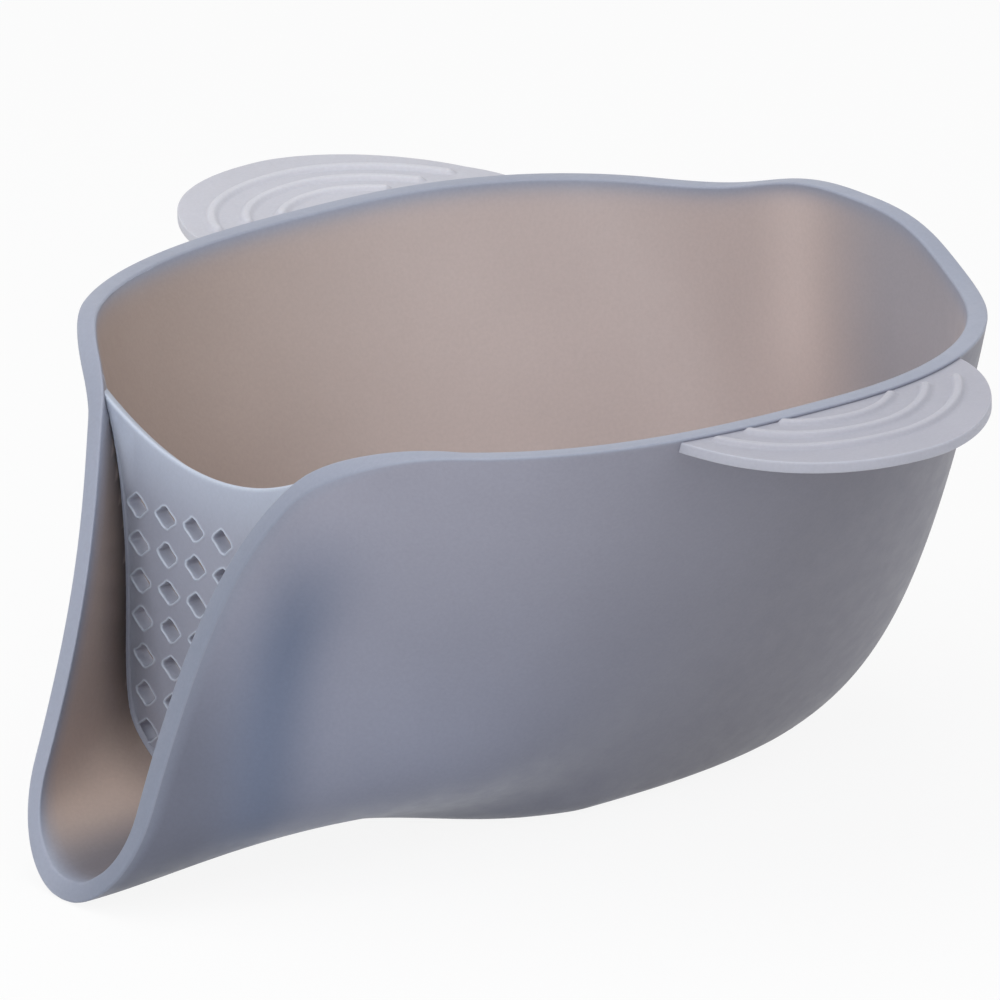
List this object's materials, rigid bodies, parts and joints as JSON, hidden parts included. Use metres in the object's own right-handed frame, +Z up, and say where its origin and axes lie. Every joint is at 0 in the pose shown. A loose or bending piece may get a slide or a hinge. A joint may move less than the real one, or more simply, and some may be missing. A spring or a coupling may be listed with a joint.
{
  "type": "draining basket",
  "caption": "Soft silicone draining basket with a flat base, a rounded tub, a perforated strainer wall across an open pouring spout and ribbed grip ledges on both sides",
  "frame": {"origin": "Middle of the length and width on the surface the basket stands on", "axes": "The spout points to -X, +Y is the right-hand side seen from the spout's back, +Z is up"},
  "size_m": [0.2014, 0.234, 0.1032],
  "materials": {
    "tub_silicone": "satin translucent silicone, cool gray outside and warm taupe inside",
    "strainer_silicone": "satin translucent silicone, cool gray",
    "grip_silicone": "satin silicone, pale lavender gray"
  },
  "bodies": {
    "root": {"basket_shell": "tub_silicone", "strainer_wall": "strainer_silicone", "handle_left": "grip_silicone", "handle_right": "grip_silicone"}
  },
  "joints": []
}
